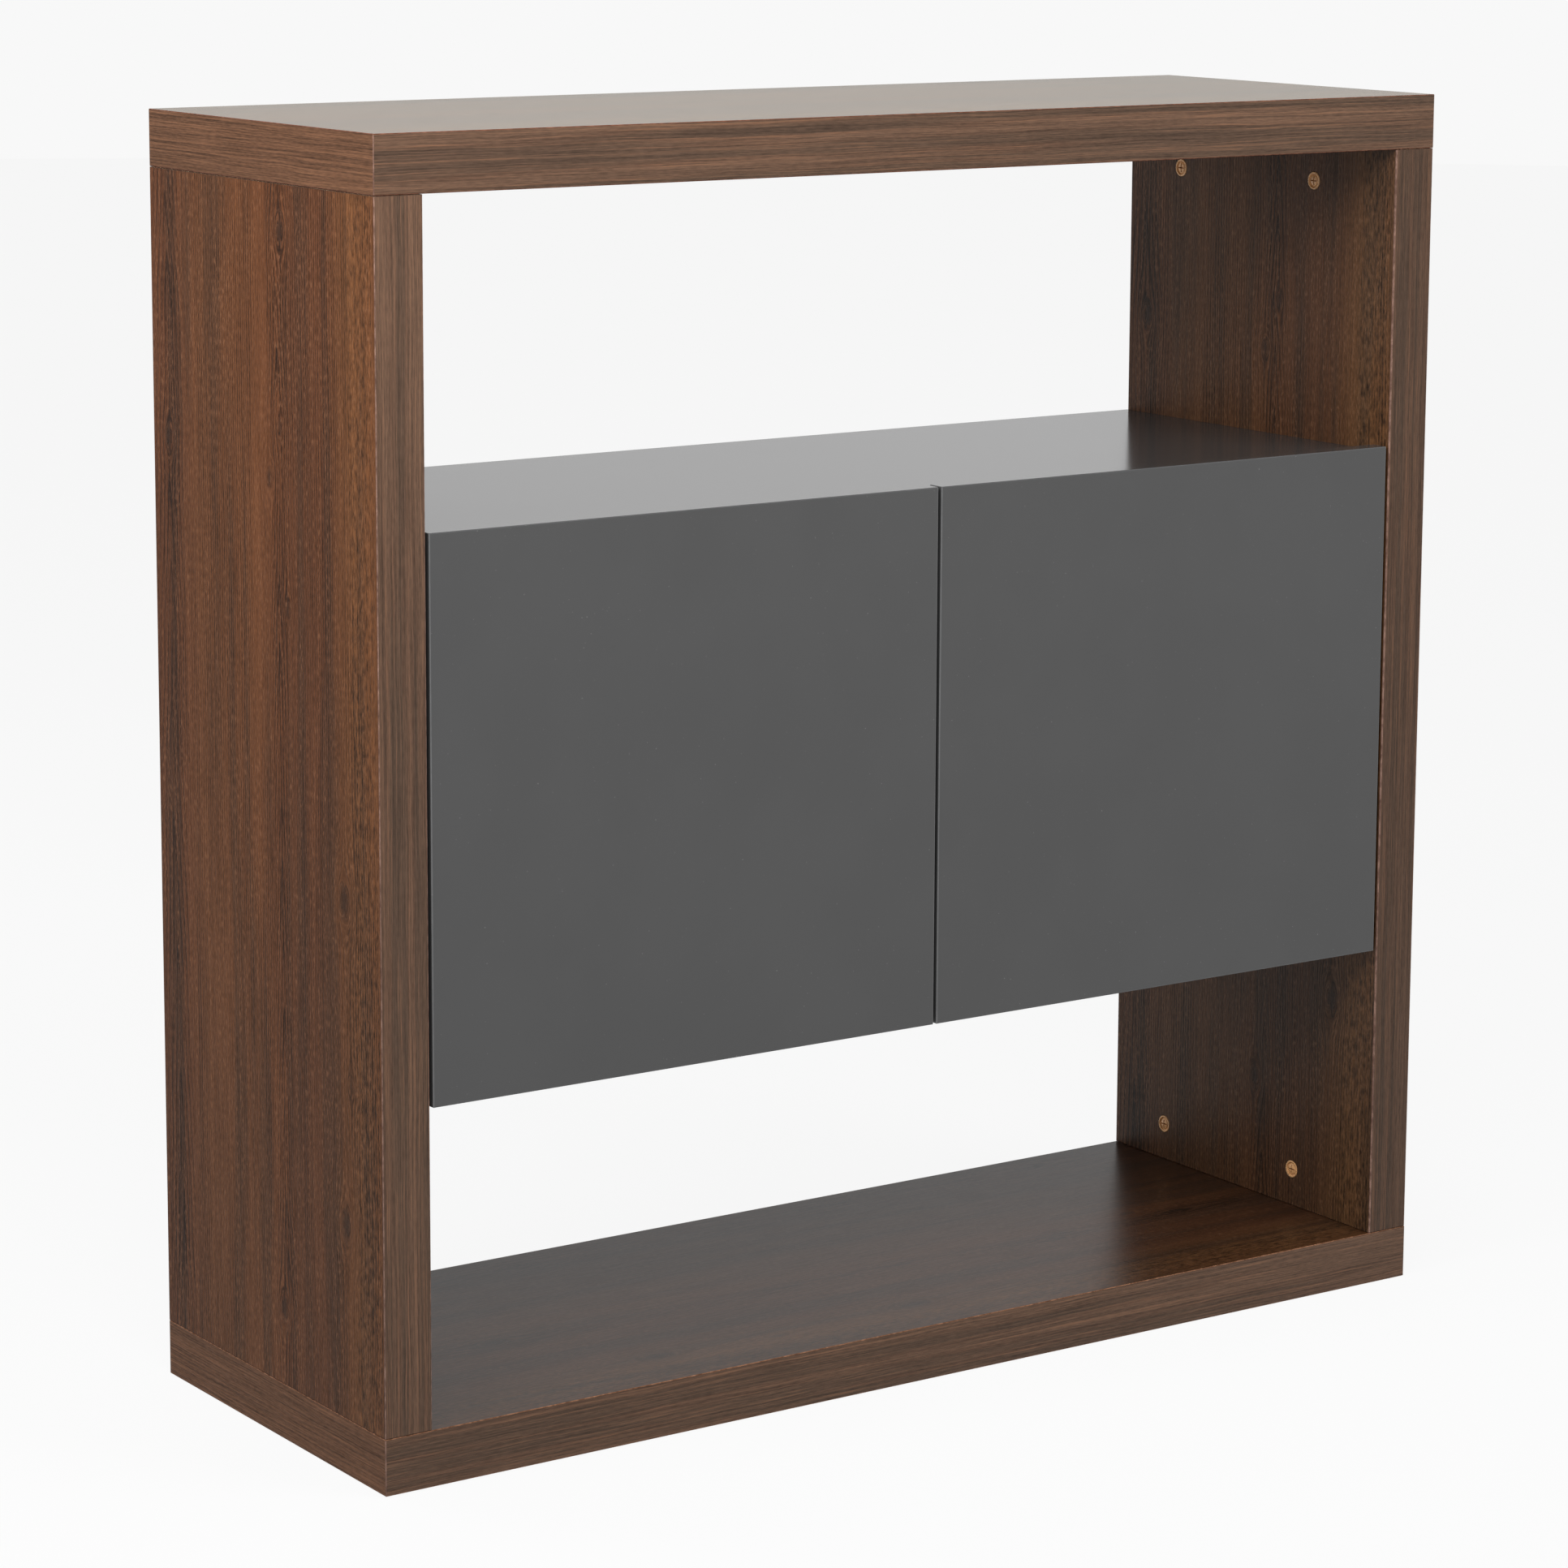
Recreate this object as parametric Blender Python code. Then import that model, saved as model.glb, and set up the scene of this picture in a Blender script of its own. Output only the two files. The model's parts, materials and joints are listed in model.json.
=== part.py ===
"""Open shelf frame with a two-door cabinet across its middle bay.

Two thick slabs and two thick sides make the frame. A cabinet of thin boards fills the
frame's width at mid height and leaves an open bay above and below it. Each door hangs on
two concealed hinges: an arm on the cabinet side, a link, and a cup let into the door.
The origin is at the bottom centre: +X is right, -Y is the front, +Z is up.
"""
import math

import bmesh
import bpy
from mathutils import Matrix, Vector

# ---- Driving dimensions, in metres ----
WIDTH, HEIGHT, DEPTH = 1.000, 1.008, 0.348
SLAB = 0.044                    # thickness of the top and bottom slabs
SIDE = 0.040                    # thickness of the side panels
GAP = 0.0003                    # between pieces that touch
ARRIS = 0.0006                  # chamfer on board edges
OVERCUT = 0.005                 # how far a cutter stands out of the face it cuts

CABINET_BOTTOM = 0.294          # height of the cabinet's underside
CABINET_HEIGHT = 0.420
BOARD = 0.016                   # cabinet boards and shelves
BACK_PANEL = 0.003
BACK_INSET = 0.009              # from the cabinet's rear edges to the back panel
GROOVE_DEPTH = 0.006

DOOR = 0.016                    # door thickness
DOOR_STANDOFF = 0.002           # from the door's back to the cabinet's front edges
DOOR_SIDE_GAP = 0.003
DOOR_MIDDLE_GAP = 0.0028
DOOR_BELOW, DOOR_ABOVE = 0.003, 0.005   # how far the doors overlap the cabinet's height

SHELF_SETBACK = 0.045           # from the cabinet's front edges
SHELF_SIDE_CLEARANCE, SHELF_REAR_CLEARANCE = 0.001, 0.002
SHELF_PIN_RADIUS, SHELF_PIN_NECK = 0.0025, 0.0024
SHELF_PIN_DEPTH, SHELF_PIN_REACH = 0.0065, 0.0080   # into the wall, and under the shelf
SHELF_PIN_SHOULDER = 0.0013     # from the wall to where the pin thickens
SHELF_PIN_FROM_END = 0.037      # from the shelf's front and rear edges

CAM_FROM_SLAB = 0.032
CAM_FROM_FRONT, CAM_FROM_BACK = 0.103, 0.069
CAM_RADIUS, CAM_DEPTH = 0.0075, 0.0140
CAM_PROUD = 0.0004              # how far a cam stands out of the side panel's face
CAM_BORE_ROOM = 0.0005          # behind the cam, at the bottom of its bore
CROSS_HALF_LENGTH, CROSS_HALF_WIDTH, CROSS_DEPTH = 0.0034, 0.0007, 0.0018
BOLT_AXIS_DEPTH = 0.0095        # from the side panel's inner face
BOLT_BORE_RADIUS, BOLT_BORE_PAST_CAM = 0.0041, 0.0045
THREAD_BORE_RADIUS, THREAD_BORE_DEPTH = 0.0028, 0.0118
HEAD_SLOT_HALF_WIDTH, HEAD_SLOT_HALF_DEPTH = 0.0043, 0.0044
HEAD_SLOT_PAST_CENTRE, HEAD_SLOT_MOUTH = 0.0048, 0.0100

SCREW_FROM_MIDDLE, SCREW_HEIGHT = 0.090, 0.570
SCREW_BORE_RADIUS, SCREW_BORE_DEPTH = 0.0023, 0.0225

# The hinge, seen from above: first number inward from the door's outer edge, second number
# back from the door's front face. The link turns on the arm, the cup turns on the link.
HINGE_FROM_END = 0.090
ARM_PIVOT = (0.0252, 0.0149)
CUP_PIVOT = (0.0110, 0.0111)
LINK_ELBOW = (0.0208, 0.0065)
NOSE_ROOT = (0.0175, 0.0220)
LINK_HALF_THICKNESS, LINK_HALF_HEIGHT = 0.0011, 0.0043
NOSE_HALF_THICKNESS, NOSE_HALF_HEIGHT = 0.0020, 0.0080
NOSE_OUTER_STEP, NOSE_INNER_STEP = 0.0005, 0.0050   # from the nose's root to the arm's body
ARM_INNER, ARM_END = 0.0200, 0.0780
PLATE_FROM_NOSE, PLATE_FROM_END = 0.008, 0.012
PLATE_THICKNESS, PLATE_HALF_HEIGHT = 0.0018, 0.026
LINK_ROOM_RADIUS, LINK_ROOM = 0.0031, 0.0004        # round and above the link inside the arm
CUP_FROM_EDGE, CUP_RADIUS, CUP_WALL = 0.0225, 0.0175, 0.0008
CUP_DEPTH, CUP_FLANGE, CUP_FLOOR = 0.0116, 0.0006, 0.0005
FLANGE_HALF_WIDTH, FLANGE_HALF_HEIGHT = 0.0100, 0.0310

LATCH_FROM_TOP = 0.060          # from the cabinet's inner top face
LATCH_FROM_FRONT = 0.004        # from the cabinet's front edges
LATCH_SIZE, LATCH_LENGTH = 0.0120, 0.0600
PLUNGER_RADIUS, PLUNGER_LENGTH, PLUNGER_CHAMFER = 0.0036, 0.0280, 0.0008
PLUNGER_ROOM = 0.006            # behind the plunger, more than its stroke
STRIKE_RADIUS, STRIKE = 0.0070, 0.0008

# ---- Places worked out from the driving dimensions ----
FRONT, BACK = -DEPTH / 2, DEPTH / 2
INNER = WIDTH / 2 - SIDE                        # inner face of a side panel
CABINET_TOP = CABINET_BOTTOM + CABINET_HEIGHT
CABINET_FRONT = FRONT + DOOR + DOOR_STANDOFF
CABINET_OUTER = INNER - GAP
CABINET_INNER = CABINET_OUTER - BOARD
FLOOR_TOP, CEILING = CABINET_BOTTOM + BOARD, CABINET_TOP - BOARD
PANEL_BACK = BACK - BACK_INSET
PANEL_FRONT = PANEL_BACK - BACK_PANEL
SHELF_MIDDLE = (FLOOR_TOP + CEILING) / 2
SHELF_UNDER = SHELF_MIDDLE - BOARD / 2
DOOR_OUTER = INNER - DOOR_SIDE_GAP
DOOR_INNER = DOOR_MIDDLE_GAP / 2
DOOR_LOW, DOOR_HIGH = CABINET_BOTTOM - DOOR_BELOW, CABINET_TOP + DOOR_ABOVE
ARM_OUTER = BOARD + 2 * GAP - DOOR_SIDE_GAP     # the arm's face on the cabinet side
HINGE_HEIGHTS = {"lower": DOOR_LOW + HINGE_FROM_END, "upper": DOOR_HIGH - HINGE_FROM_END}
SIDES = {"left": -1, "right": 1}
ENDS = {"bottom": -1, "top": 1}

WALNUT = (0.105, 0.058, 0.036)
DARK_GREY = (0.105, 0.105, 0.105)
CHARCOAL = (0.070, 0.070, 0.072)
TAN = (0.42, 0.27, 0.15)
STEEL = (0.60, 0.60, 0.58)
ZINC = (0.48, 0.48, 0.46)
PLASTIC = (0.62, 0.62, 0.60)


def clear_scene():
    for old in list(bpy.data.objects):
        bpy.data.objects.remove(old, do_unlink=True)


def material(name, color, roughness, metallic=0.0):
    made = bpy.data.materials.new(name)
    made.use_nodes = True
    shader = made.node_tree.nodes["Principled BSDF"]
    shader.inputs["Base Color"].default_value = (*color, 1.0)
    shader.inputs["Roughness"].default_value = roughness
    shader.inputs["Metallic"].default_value = metallic
    return made


def place(name, shape, origin, parent=None):
    """An object from a bmesh in world coordinates, with its own origin."""
    bmesh.ops.translate(shape, verts=shape.verts, vec=-Vector(origin))
    bmesh.ops.recalc_face_normals(shape, faces=shape.faces)
    mesh = bpy.data.meshes.new(name)
    shape.to_mesh(mesh)
    shape.free()
    made = bpy.data.objects.new(name, mesh)
    bpy.context.scene.collection.objects.link(made)
    made.location = Vector(origin) - (parent.location if parent else Vector())
    made.parent = parent
    return made


def pivot(name, location):
    """An empty on a joint's axis."""
    made = bpy.data.objects.new(name, None)
    bpy.context.scene.collection.objects.link(made)
    made.location = location
    return made


def finish(piece, look, smooth_angle=None):
    color, roughness, metallic = look
    piece.data.materials.append(material(piece.name, color, roughness, metallic))
    if smooth_angle:
        piece.data.shade_smooth()
        piece.data.set_sharp_from_angle(angle=math.radians(smooth_angle))
    return piece


def box_shape(low, high):
    low, high = Vector(low), Vector(high)
    shape = bmesh.new()
    bmesh.ops.create_cube(shape, size=1.0)
    bmesh.ops.scale(shape, verts=shape.verts, vec=high - low)
    bmesh.ops.translate(shape, verts=shape.verts, vec=(low + high) / 2)
    return shape


def rod_shape(start, end, radius, segments):
    """A round bar between two points."""
    start, end = Vector(start), Vector(end)
    run = end - start
    turn = run.to_track_quat("Z", "Y").to_matrix().to_4x4()
    shape = bmesh.new()
    bmesh.ops.create_cone(
        shape, cap_ends=True, segments=segments, radius1=radius, radius2=radius,
        depth=run.length, matrix=Matrix.Translation((start + end) / 2) @ turn)
    return shape


def turned_shape(profile, start, direction, segments):
    """A turned piece: (radius, distance along its axis) pairs from one end to the other."""
    turn = Vector(direction).to_track_quat("Z", "Y").to_matrix().to_4x4()
    to_world = Matrix.Translation(start) @ turn
    shape = bmesh.new()
    rings = []
    for radius, along in profile:
        ring = []
        for step in range(segments):
            angle = 2 * math.pi * step / segments
            point = Vector((radius * math.cos(angle), radius * math.sin(angle), along))
            ring.append(shape.verts.new(to_world @ point))
        rings.append(ring)
    for first, second in zip(rings, rings[1:]):
        for step in range(segments):
            after = (step + 1) % segments
            shape.faces.new((first[step], first[after], second[after], second[step]))
    shape.faces.new(rings[0][::-1])
    shape.faces.new(rings[-1])
    return shape


def prism_shape(outline, low, high):
    """An outline of (x, y) points pushed up from one height to another."""
    shape = bmesh.new()
    base = shape.faces.new([shape.verts.new((x, y, low)) for x, y in outline])
    pushed = bmesh.ops.extrude_face_region(shape, geom=[base])
    top = [item for item in pushed["geom"] if isinstance(item, bmesh.types.BMVert)]
    bmesh.ops.translate(shape, verts=top, vec=(0, 0, high - low))
    return shape


def centre(low, high):
    return (Vector(low) + Vector(high)) / 2


def board(name, low, high, look, parent=None):
    """A flat board with chamfered arrises."""
    piece = place(name, box_shape(low, high), centre(low, high), parent)
    chamfer = piece.modifiers.new("arris", "BEVEL")
    chamfer.width = ARRIS
    chamfer.segments = 1
    return finish(piece, look)


def combine(piece, shape, operation, label):
    """Cut a shape out of a piece, or add it to the piece."""
    tool = place(f"{piece.name}-{label}", shape, (0, 0, 0))
    tool.hide_render = True
    tool.display_type = "WIRE"
    change = piece.modifiers.new(label, "BOOLEAN")
    change.operation = operation
    change.solver = "EXACT"
    change.object = tool


def cut(piece, shape, label):
    combine(piece, shape, "DIFFERENCE", label)


def add(piece, shape, label):
    combine(piece, shape, "UNION", label)


WOOD_LOOK = (WALNUT, 0.45, 0.0)
DOOR_LOOK = (DARK_GREY, 0.6, 0.0)
CABINET_LOOK = (CHARCOAL, 0.2, 0.0)
STEEL_LOOK = (STEEL, 0.3, 1.0)


# ---- Frame ----
def make_frame():
    frame = {}
    half = WIDTH / 2
    frame["bottom"] = board("bottom_slab", (-half, FRONT, 0), (half, BACK, SLAB), WOOD_LOOK)
    frame["top"] = board(
        "top_slab", (-half, FRONT, HEIGHT - SLAB), (half, BACK, HEIGHT), WOOD_LOOK)
    low, high = SLAB + GAP, HEIGHT - SLAB - GAP
    frame["left"] = board("left_side_panel", (-half, FRONT, low), (-INNER, BACK, high), WOOD_LOOK)
    frame["right"] = board("right_side_panel", (INNER, FRONT, low), (half, BACK, high), WOOD_LOOK)
    return frame


def bolt_profile():
    """Thread, collar, shaft, neck and head, measured from the slab's face into the side panel."""
    return [
        (0.0022, -0.0110), (0.0025, -0.0105), (0.0025, 0.0005), (0.0037, 0.0005),
        (0.0037, 0.0020), (0.0030, 0.0020), (0.0030, 0.0270), (0.0020, 0.0275),
        (0.0020, 0.0300), (0.0035, 0.0312), (0.0035, 0.0340), (0.0020, 0.0350)]


def make_cam_joint(frame, side, end, place_name, y):
    """A cam in the side panel draws in the head of a bolt that is screwed into the slab."""
    inward = -SIDES[side]
    up = ENDS[end]
    slab_face = HEIGHT - SLAB if up > 0 else SLAB
    cam_z = slab_face - up * CAM_FROM_SLAB
    face_x = -inward * INNER
    axis_x = face_x - inward * BOLT_AXIS_DEPTH
    panel, slab = frame[side], frame[end]
    label = f"{end}_{place_name}"

    cut(panel, rod_shape((face_x + inward * OVERCUT, y, cam_z),
                         (face_x - inward * (CAM_DEPTH + CAM_BORE_ROOM), y, cam_z),
                         CAM_RADIUS + GAP, 20), f"cam_bore_{label}")
    cut(panel, rod_shape((axis_x, y, slab_face + up * OVERCUT),
                         (axis_x, y, cam_z - up * BOLT_BORE_PAST_CAM), BOLT_BORE_RADIUS, 12),
        f"bolt_bore_{label}")
    cut(slab, rod_shape((axis_x, y, slab_face - up * OVERCUT),
                        (axis_x, y, slab_face + up * THREAD_BORE_DEPTH), THREAD_BORE_RADIUS, 12),
        f"bolt_bore_{side}_{place_name}")

    cam = place(f"cam_{side}_{label}", turned_shape(
        [(CAM_RADIUS, -CAM_DEPTH), (CAM_RADIUS, 0.0), (CAM_RADIUS - CAM_PROUD, CAM_PROUD)],
        (face_x, y, cam_z), (inward, 0, 0), 20), (face_x, y, cam_z))
    slot_z = sorted((cam_z - up * HEAD_SLOT_PAST_CENTRE, cam_z + up * HEAD_SLOT_MOUTH))
    cut(cam, box_shape((axis_x - HEAD_SLOT_HALF_DEPTH, y - HEAD_SLOT_HALF_WIDTH, slot_z[0]),
                       (axis_x + HEAD_SLOT_HALF_DEPTH, y + HEAD_SLOT_HALF_WIDTH, slot_z[1])),
        "head_slot")
    for name, half_y, half_z in (("cross_a", CROSS_HALF_LENGTH, CROSS_HALF_WIDTH),
                                 ("cross_b", CROSS_HALF_WIDTH, CROSS_HALF_LENGTH)):
        ends = sorted((face_x + inward * OVERCUT, face_x - inward * CROSS_DEPTH))
        cut(cam, box_shape((ends[0], y - half_y, cam_z - half_z),
                           (ends[1], y + half_y, cam_z + half_z)), name)
    finish(cam, (TAN, 0.5, 0.0))

    bolt = place(f"cam_bolt_{side}_{label}",
                 turned_shape(bolt_profile(), (axis_x, y, slab_face), (0, 0, -up), 12),
                 (axis_x, y, slab_face))
    finish(bolt, STEEL_LOOK, 30)


# ---- Cabinet ----
def make_cabinet(frame):
    cabinet = {}
    for name, low, high in (("bottom", CABINET_BOTTOM, FLOOR_TOP), ("top", CEILING, CABINET_TOP)):
        cabinet[name] = board(f"cabinet_{name}", (-CABINET_OUTER, CABINET_FRONT, low),
                              (CABINET_OUTER, BACK, high), CABINET_LOOK)
    low, high = FLOOR_TOP + GAP, CEILING - GAP
    cabinet["left"] = board("cabinet_left_side", (-CABINET_OUTER, CABINET_FRONT, low),
                            (-CABINET_INNER, BACK, high), CABINET_LOOK)
    cabinet["right"] = board("cabinet_right_side", (CABINET_INNER, CABINET_FRONT, low),
                             (CABINET_OUTER, BACK, high), CABINET_LOOK)
    cabinet["divider"] = board("cabinet_divider", (-BOARD / 2, CABINET_FRONT, low),
                               (BOARD / 2, PANEL_FRONT - GAP, high), CABINET_LOOK)

    reach = GROOVE_DEPTH - GAP
    board("cabinet_back", (-CABINET_INNER - reach, PANEL_FRONT, FLOOR_TOP - reach),
          (CABINET_INNER + reach, PANEL_BACK, CEILING + reach), CABINET_LOOK)
    for groove in ("bottom", "top", "left", "right"):
        cut(cabinet[groove], box_shape(
            (-CABINET_INNER - GROOVE_DEPTH, PANEL_FRONT - GAP, FLOOR_TOP - GROOVE_DEPTH),
            (CABINET_INNER + GROOVE_DEPTH, PANEL_BACK + GAP, CEILING + GROOVE_DEPTH)), "groove")

    for side, sign in SIDES.items():
        for place_name, y in (("front", -SCREW_FROM_MIDDLE), ("back", SCREW_FROM_MIDDLE)):
            make_fixing_screw(frame, cabinet, side, sign, place_name, y)
    return cabinet


def screw_profile():
    """Rounded head, shank and point, measured from under the head."""
    return [(0.0030, -0.0022), (0.0040, -0.0014), (0.0040, 0.0), (0.0020, 0.0),
            (0.0020, 0.0340), (0.0006, 0.0380)]


def make_fixing_screw(frame, cabinet, side, sign, place_name, y):
    """A pan-head screw through the cabinet side into the frame's side panel."""
    start = (sign * (CABINET_INNER - GAP), y, SCREW_HEIGHT)
    for board_piece, label in ((cabinet[side], "screw"), (frame[side], "cabinet_screw")):
        cut(board_piece, rod_shape((sign * (CABINET_INNER - OVERCUT), y, SCREW_HEIGHT),
                                   (sign * (INNER + SCREW_BORE_DEPTH), y, SCREW_HEIGHT),
                                   SCREW_BORE_RADIUS, 12), f"{label}_{place_name}")
    screw = place(f"cabinet_screw_{side}_{place_name}",
                  turned_shape(screw_profile(), start, (sign, 0, 0), 12), start)
    finish(screw, STEEL_LOOK, 30)


def make_shelf(cabinet, side):
    sign = SIDES[side]
    outer = CABINET_INNER - SHELF_SIDE_CLEARANCE
    inner = BOARD / 2 + SHELF_SIDE_CLEARANCE
    front, rear = CABINET_FRONT + SHELF_SETBACK, PANEL_FRONT - SHELF_REAR_CLEARANCE
    xs = sorted((sign * inner, sign * outer))
    board(f"{side}_shelf", (xs[0], front, SHELF_UNDER), (xs[1], rear, SHELF_UNDER + BOARD),
          CABINET_LOOK)
    for place_name, y in (("front", front + SHELF_PIN_FROM_END),
                          ("back", rear - SHELF_PIN_FROM_END)):
        make_shelf_pin(cabinet[side], side, "side", sign * CABINET_INNER, sign, place_name, y)
        make_shelf_pin(cabinet["divider"], side, "divider", sign * BOARD / 2, -sign, place_name, y)


def make_shelf_pin(wall_board, side, wall, wall_x, into, place_name, y):
    """A pin pushed into a wall of the cabinet, which carries a corner of a shelf."""
    face = Vector((wall_x, y, SHELF_UNDER - GAP - SHELF_PIN_RADIUS))
    inward = Vector((into, 0, 0))
    cut(wall_board, rod_shape(face - inward * OVERCUT, face + inward * (SHELF_PIN_DEPTH + GAP),
                              SHELF_PIN_RADIUS + GAP, 12), f"pin_{side}_{place_name}")
    profile = [(SHELF_PIN_RADIUS, -SHELF_PIN_REACH), (SHELF_PIN_RADIUS, -SHELF_PIN_SHOULDER),
               (SHELF_PIN_NECK, -SHELF_PIN_SHOULDER), (SHELF_PIN_NECK, SHELF_PIN_DEPTH)]
    pin = place(f"shelf_pin_{side}_{wall}_{place_name}",
                turned_shape(profile, face, inward, 12), face)
    finish(pin, STEEL_LOOK, 30)


# ---- Doors and hinges ----
def hinge_point(side, spot):
    """World (x, y) of a point given inward from the door's edge and back from its front."""
    inward, back = spot
    return SIDES[side] * (DOOR_OUTER - inward), FRONT + back


def band(points, half_width, steps=6):
    """The outline of a strip with round ends that follows three points."""
    points = [Vector(point) for point in points]
    first = (points[1] - points[0]).normalized()
    second = (points[2] - points[1]).normalized()

    def left(direction):
        return Vector((-direction.y, direction.x))

    mitre = (left(first) + left(second)).normalized()
    mitre *= half_width / mitre.dot(left(first))

    def half_circle(middle, start):
        begin = math.atan2(start.y, start.x)
        return [middle + half_width * Vector((math.cos(begin - math.pi * step / steps),
                                              math.sin(begin - math.pi * step / steps)))
                for step in range(steps + 1)]

    outline = half_circle(points[2], left(second))
    outline.append(points[1] - mitre)
    outline += half_circle(points[0], -left(first))
    outline.append(points[1] + mitre)
    return outline


def arm_outline():
    """The arm from above: a round-ended nose on a straight body along the cabinet side."""
    tip, root = Vector(ARM_PIVOT), Vector(NOSE_ROOT)
    run = (tip - root).normalized()
    across = NOSE_HALF_THICKNESS * Vector((-run.y, run.x))
    begin = math.atan2(-across.y, -across.x)
    steps = 8
    nose = [tip + NOSE_HALF_THICKNESS * Vector((math.cos(begin + math.pi * step / steps),
                                                math.sin(begin + math.pi * step / steps)))
            for step in range(steps + 1)]
    outer_side = [Vector((ARM_OUTER, ARM_END)), Vector((ARM_OUTER, root.y - NOSE_OUTER_STEP))]
    inner_side = [Vector((ARM_INNER, root.y + NOSE_INNER_STEP)), Vector((ARM_INNER, ARM_END))]
    return outer_side + [root - across] + nose + [root + across] + inner_side


def make_arm(side, level):
    z = HINGE_HEIGHTS[level]
    outline = [hinge_point(side, spot) for spot in arm_outline()]
    tip = hinge_point(side, ARM_PIVOT)
    arm = place(f"hinge_arm_{side}_{level}",
                prism_shape(outline, z - NOSE_HALF_HEIGHT, z + NOSE_HALF_HEIGHT), (*tip, z))
    corners = [hinge_point(side, spot) for spot in (
        (ARM_OUTER, NOSE_ROOT[1] + PLATE_FROM_NOSE),
        (ARM_OUTER + PLATE_THICKNESS, ARM_END - PLATE_FROM_END))]
    xs = sorted(corner[0] for corner in corners)
    ys = sorted(corner[1] for corner in corners)
    add(arm, box_shape((xs[0], ys[0], z - PLATE_HALF_HEIGHT), (xs[1], ys[1], z + PLATE_HALF_HEIGHT)),
        "plate")
    half_room = LINK_HALF_HEIGHT + LINK_ROOM
    cut(arm, rod_shape((*tip, z - half_room), (*tip, z + half_room), LINK_ROOM_RADIUS, 16),
        "link_room")
    return finish(arm, (STEEL, 0.35, 1.0))


def make_link(side, level, parent):
    z = HINGE_HEIGHTS[level]
    outline = [hinge_point(side, spot)
               for spot in band((CUP_PIVOT, LINK_ELBOW, ARM_PIVOT), LINK_HALF_THICKNESS)]
    link = place(f"hinge_link_{side}_{level}",
                 prism_shape(outline, z - LINK_HALF_HEIGHT, z + LINK_HALF_HEIGHT),
                 (*hinge_point(side, ARM_PIVOT), z), parent)
    return finish(link, (ZINC, 0.4, 1.0))


def make_cup(side, level, parent):
    z = HINGE_HEIGHTS[level]
    x, back_face = hinge_point(side, (CUP_FROM_EDGE, DOOR))
    top = back_face + GAP + CUP_FLANGE
    floor = back_face - CUP_DEPTH
    cup = place(f"hinge_cup_{side}_{level}",
                rod_shape((x, floor, z), (x, top, z), CUP_RADIUS, 24), (x, top, z), parent)
    add(cup, box_shape((x - FLANGE_HALF_WIDTH, back_face + GAP, z - FLANGE_HALF_HEIGHT),
                       (x + FLANGE_HALF_WIDTH, top, z + FLANGE_HALF_HEIGHT)), "flange")
    cut(cup, rod_shape((x, floor + CUP_FLOOR, z), (x, top + OVERCUT, z), CUP_RADIUS - CUP_WALL, 24),
        "hollow")
    return finish(cup, STEEL_LOOK)


def make_door(side):
    """The door, its cups and its strike plate turn on the links; the links turn on the arms."""
    sign = SIDES[side]
    middle = (DOOR_LOW + DOOR_HIGH) / 2
    link_pivot = pivot(f"{side}_link_pivot", (*hinge_point(side, ARM_PIVOT), middle))
    door_pivot = pivot(f"{side}_door_pivot", (*hinge_point(side, CUP_PIVOT), middle))
    xs = sorted((sign * DOOR_INNER, sign * DOOR_OUTER))
    door = board(f"{side}_door", (xs[0], FRONT, DOOR_LOW), (xs[1], FRONT + DOOR, DOOR_HIGH),
                 DOOR_LOOK, door_pivot)
    for level, z in HINGE_HEIGHTS.items():
        x, back_face = hinge_point(side, (CUP_FROM_EDGE, DOOR))
        cut(door, rod_shape((x, back_face - CUP_DEPTH - GAP, z), (x, back_face + OVERCUT, z),
                            CUP_RADIUS + GAP, 24), f"cup_bore_{level}")
        make_arm(side, level)
        make_link(side, level, link_pivot)
        make_cup(side, level, door_pivot)
    return door_pivot


def make_latch(side, door_pivot):
    """A push latch on the divider, with a plunger that meets a strike plate on the door."""
    sign = SIDES[side]
    z = CEILING - LATCH_FROM_TOP
    near = BOARD / 2 + GAP
    x = sign * (near + LATCH_SIZE / 2)
    start = CABINET_FRONT + LATCH_FROM_FRONT
    xs = sorted((sign * near, sign * (near + LATCH_SIZE)))
    body = place(f"latch_body_{side}", box_shape(
        (xs[0], start, z - LATCH_SIZE / 2), (xs[1], start + LATCH_LENGTH, z + LATCH_SIZE / 2)),
        (x, start, z))
    strike_face = FRONT + DOOR + GAP + STRIKE
    tip = strike_face + GAP
    cut(body, rod_shape((x, start - OVERCUT, z), (x, tip + PLUNGER_LENGTH + PLUNGER_ROOM, z),
                        PLUNGER_RADIUS + GAP, 16), "bore")
    finish(body, (PLASTIC, 0.5, 0.0))

    profile = [(PLUNGER_RADIUS - PLUNGER_CHAMFER, 0.0), (PLUNGER_RADIUS, PLUNGER_CHAMFER),
               (PLUNGER_RADIUS, PLUNGER_LENGTH)]
    plunger = place(f"latch_plunger_{side}",
                    turned_shape(profile, (x, tip, z), (0, 1, 0), 16), (x, tip, z))
    finish(plunger, (PLASTIC, 0.45, 0.0), 30)

    strike = place(f"strike_plate_{side}",
                   rod_shape((x, FRONT + DOOR + GAP, z), (x, strike_face, z), STRIKE_RADIUS, 20),
                   (x, strike_face, z), door_pivot)
    finish(strike, STEEL_LOOK)


def main():
    clear_scene()
    frame = make_frame()
    for side in SIDES:
        for end in ENDS:
            make_cam_joint(frame, side, end, "front", FRONT + CAM_FROM_FRONT)
            make_cam_joint(frame, side, end, "back", BACK - CAM_FROM_BACK)
    cabinet = make_cabinet(frame)
    for side in SIDES:
        make_shelf(cabinet, side)
        make_latch(side, make_door(side))


main()
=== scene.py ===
"""The looks of an open walnut shelf frame with a two-door charcoal cabinet. Lengths are in metres."""

import json
import math

import bmesh
import bpy
from mathutils import Matrix, Vector


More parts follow.
